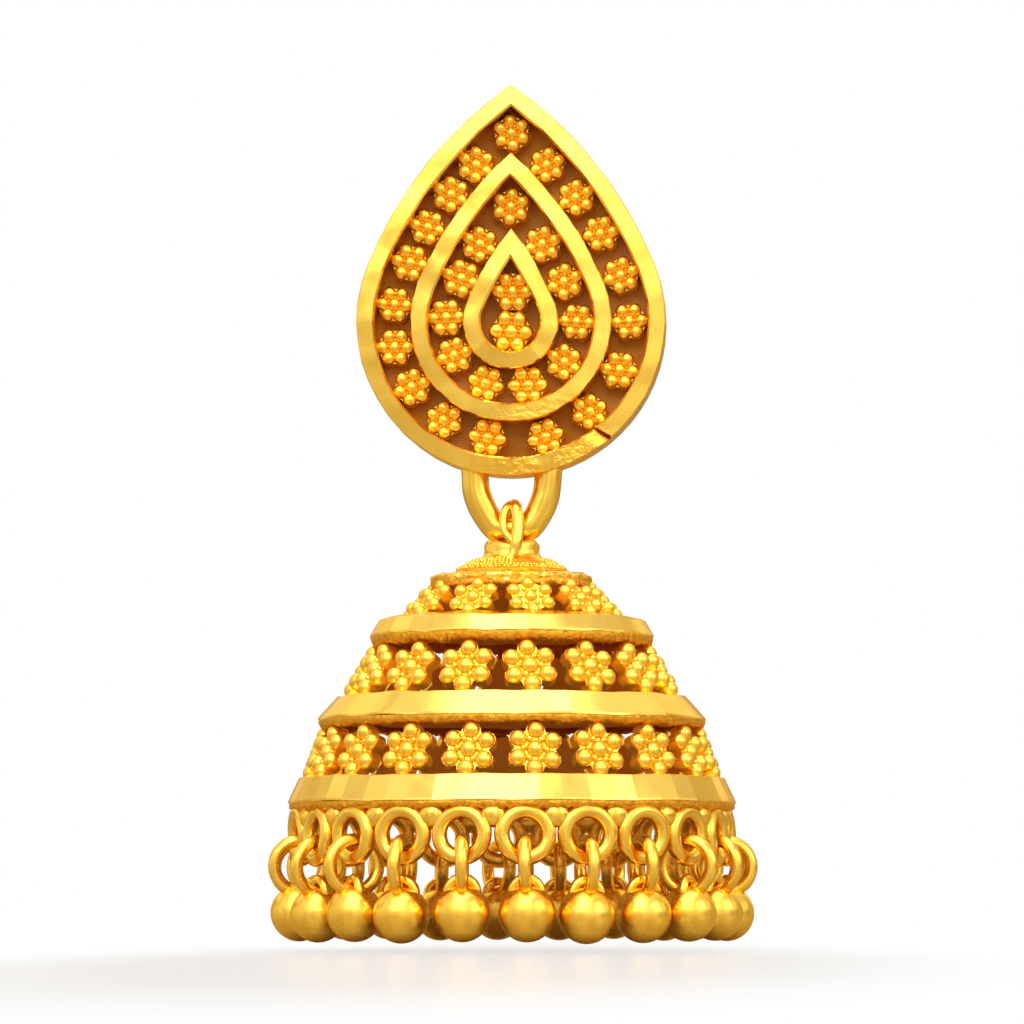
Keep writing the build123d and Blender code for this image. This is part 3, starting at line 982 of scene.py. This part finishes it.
LEFT_RADIUS, RIGHT_RADIUS = 0.2, 0.33
LEFT_STRAND = (
    (0.0, 0.95, -0.5), (0.0, 1.1, 0.4), (0.02, 0.6, 1.15), (0.0, -0.3, 1.28), (-0.26, -0.9, 1.0),
    (-0.4, -1.08, 0.35), (-0.32, -1.25, -0.2), (0.0, -1.4, -0.62), (0.2, -1.44, -0.85),
)
RIGHT_STRAND = (
    (0.0, 1.1, 0.4), (0.04, 0.6, 1.1), (0.1, -0.3, 1.22), (0.28, -0.95, 0.95), (0.4, -1.12, 0.25),
    (0.35, -1.3, -0.4), (0.3, -1.42, -0.8), (0.22, -1.48, -1.2, 0.75), (0.08, -1.6, -1.48, 0.6),
    (-0.15, -1.85, -1.66, 0.4),
)
bm = bmesh.new()
bent_wire(bm, LEFT_STRAND, LEFT_RADIUS)
bent_wire(bm, RIGHT_STRAND, RIGHT_RADIUS)
finish_piece(bm, "eye_wires", "bell", wire_gold, hinge, ["bell_eye"], 60, mend=True)

# %% [markdown]
# ## The hanger loop
#
# The bell swings on a thick wire bent into a U under the ear plate. Its arms lean in towards a short flat
# bottom, which is the hinge's axle, so the first and last points stand straight above each other and the
# middle ones lie level. The wire is a little uneven, as hammered wire is.

# %% Bend the hanger loop
HALF_LOOP = ((1.86, 0, 3.3), (1.86, 0, 2.7), (1.74, 0, 1.5), (0.9, 0, 0.03), (0.3, 0, 0))
HANGER_RADIUS = 0.69

bm = bmesh.new()
loop_points = [*HALF_LOOP, *((-across, deep, up) for across, deep, up in reversed(HALF_LOOP))]
bent_wire(bm, loop_points, HANGER_RADIUS)
for vert in bm.verts:
    vert.co += noise.noise_vector(vert.co * 0.8) * 0.05
finish_piece(bm, "loop_wire", "plate", wire_gold, hinge, ["hanger_loop"], 60, mend=True)

# %% [markdown]
# ## The part that is right as it is
#
# The post is plain wire with a rounded end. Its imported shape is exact, so it stays and only gets its gold.

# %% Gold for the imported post
post = frame["nodes"]["ear_post"]
post.data.materials.clear()
post.data.materials.append(wire_gold)
print("ear_post keeps its packed shape, in", wire_gold.name)

# %% [markdown]
# ## The floor
#
# The earring hangs just above a sheet of white paper. Paper that is only lit would look grey beside a white
# room, so the camera sees most of its light as plain white, and the rest as paper, which keeps the shadow.
# Further off it turns all white, so that no edge shows. The gold sees only the paper, and its lower parts
# stay deep and warm.

# %% Lay the floor
FLOOR_GAP, FLOOR_HALF = 0.0004, 1.5
PAPER = (0.42, 0.38, 0.32)
WHITE = (1.0, 1.0, 1.0)
WHITE_SHARE = 0.7

low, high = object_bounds()
floor_height = low[2] - FLOOR_GAP
bm = bmesh.new()
bmesh.ops.create_grid(bm, x_segments=1, y_segments=1, size=FLOOR_HALF)
bmesh.ops.translate(bm, vec=(0, 0, floor_height), verts=bm.verts)
floor = bpy.data.objects.new("floor", keep_mesh(bm, "floor"))
bpy.context.collection.objects.link(floor)
paper = bpy.data.materials.new("paper")
paper.use_nodes = True
tree = Tree(paper.node_tree)
spread = {"Vector": tree.place(), "Location": (0, 0.5, 0), "Scale": (45, 11, 0)}
away = tree.vector("LENGTH", tree.node("ShaderNodeMapping", None, spread), output="Value")
share = WHITE_SHARE + away.step(0.4, 1.1) * (1 - WHITE_SHARE)
is_camera = tree.node("ShaderNodeLightPath", output="Is Camera Ray")
sheen = tree.node("ShaderNodeBsdfPrincipled", None, {"Base Color": PAPER, "Roughness": 0.2})
glow = tree.node("ShaderNodeEmission", None, {"Color": WHITE, "Strength": 1.0})
both = tree.node("ShaderNodeMixShader", None, {0: is_camera * share, 1: sheen, 2: glow})
tree.node("ShaderNodeOutputMaterial", None, {"Surface": both})
floor.data.materials.append(paper)
print("floor at", round(floor_height * 1000, 2), "mm")

# %% [markdown]
# ## The room
#
# Jewellery is lit in a white tent, and polished gold shows all of it. So rays that come off the gold see a
# room that is brighter above and towards the camera, with soft brighter cards here and there, and warm where
# it is dim. The camera sees plain white, and dull surfaces get one even level.

# %% Pitch the tent
EVEN_LEVEL, DIM_LEVEL = 0.6, 0.42
ABOVE, TOWARD_CAMERA, CARDS = 0.4, 0.32, 0.5
WARM = (1.0, 0.74, 0.42)

world = bpy.data.worlds.new("tent")
bpy.context.scene.world = world
world.use_nodes = True
tree = Tree(world.node_tree)
direction = tree.node("ShaderNodeTexCoord", output="Generated")
deep, up = (tree.node("ShaderNodeSeparateXYZ", None, {0: direction}, axis) for axis in ("Y", "Z"))
cards = tree.node("ShaderNodeTexNoise", None, {"Vector": direction, "Scale": 2.2, "Detail": 0.5})
room = DIM_LEVEL + up.step(-0.1, 0.85) * ABOVE
room = room + (0 - deep).step(0.2, 1.0) * TOWARD_CAMERA + cards.step(0.42, 0.6) * CARDS
is_camera = tree.node("ShaderNodeLightPath", output="Is Camera Ray")
is_glossy = tree.node("ShaderNodeLightPath", output="Is Glossy Ray")
level = is_camera + (1 - is_camera) * (is_glossy * room + (1 - is_glossy) * EVEN_LEVEL)
warmth = tree.mix(level.step(0.35, 0.95), WARM, WHITE)
backdrop = tree.node("ShaderNodeBackground", None, {"Color": warmth, "Strength": level})
tree.node("ShaderNodeOutputWorld", None, {"Surface": backdrop})
print("tent from", DIM_LEVEL, "to", round(DIM_LEVEL + ABOVE + TOWARD_CAMERA + CARDS, 2), "for gold")

# %% [markdown]
# ## The lamps
#
# Three softboxes, each a square lamp turned to the earring: a large one in front and above, a weak one at
# the right that models the beads, and one overhead that lights the upper edges.

# %% Hang the lamps
SOFTBOXES = (
    ("softbox_front", (-0.06, -0.3, 0.26), 0.34, 0.9),
    ("softbox_right", (0.28, -0.14, 0.16), 0.2, 0.22),
    ("softbox_top", (0.0, -0.02, 0.32), 0.26, 0.5),
)
middle = Vector([(a + b) / 2 for a, b in zip(low, high)])
for name, offset, size, power in SOFTBOXES:
    lamp = bpy.data.lights.new(name, "AREA")
    lamp.size, lamp.energy = size, power
    holder = bpy.data.objects.new(name, lamp)
    bpy.context.collection.objects.link(holder)
    holder.location = middle + Vector(offset)
    holder.rotation_euler = (-Vector(offset)).to_track_quat("-Z", "Y").to_euler()
    print(name, size, "m wide,", power, "W")

# %% [markdown]
# ## The camera
#
# The camera stands a little to the right of the middle and almost on the floor, as near as one stands to
# look at jewellery. So it looks slightly up at the bell and sees the undersides of its bands. The lens is
# worked out from the distance, so that the earring fills most of the frame's height.

# %% Set the camera
DISTANCE, AZIMUTH = 0.235, radians(3.6)
EYE_HEIGHT = 0.0027  # above the floor
FRAME_SHARE = 0.84  # of the frame's height is earring

camera = bpy.data.cameras.new("camera")
viewer = bpy.data.objects.new("camera", camera)
bpy.context.collection.objects.link(viewer)
aside, back = DISTANCE * sin(AZIMUTH), DISTANCE * cos(AZIMUTH)
viewer.location = (middle.x + aside, hinge.y - back, floor_height + EYE_HEIGHT)
aim = Vector((middle.x, hinge.y, middle.z))
viewer.rotation_euler = (aim - viewer.location).to_track_quat("-Z", "Y").to_euler()
camera.sensor_width = 36
camera.lens = camera.sensor_width * DISTANCE * FRAME_SHARE / (high[2] - low[2])
camera.clip_start = 0.005
camera.clip_end = 10
bpy.context.scene.camera = viewer
bpy.context.scene.view_settings.view_transform = "Standard"
print("camera", round(camera.lens), "mm lens at", [round(c * 1000) for c in viewer.location], "mm")
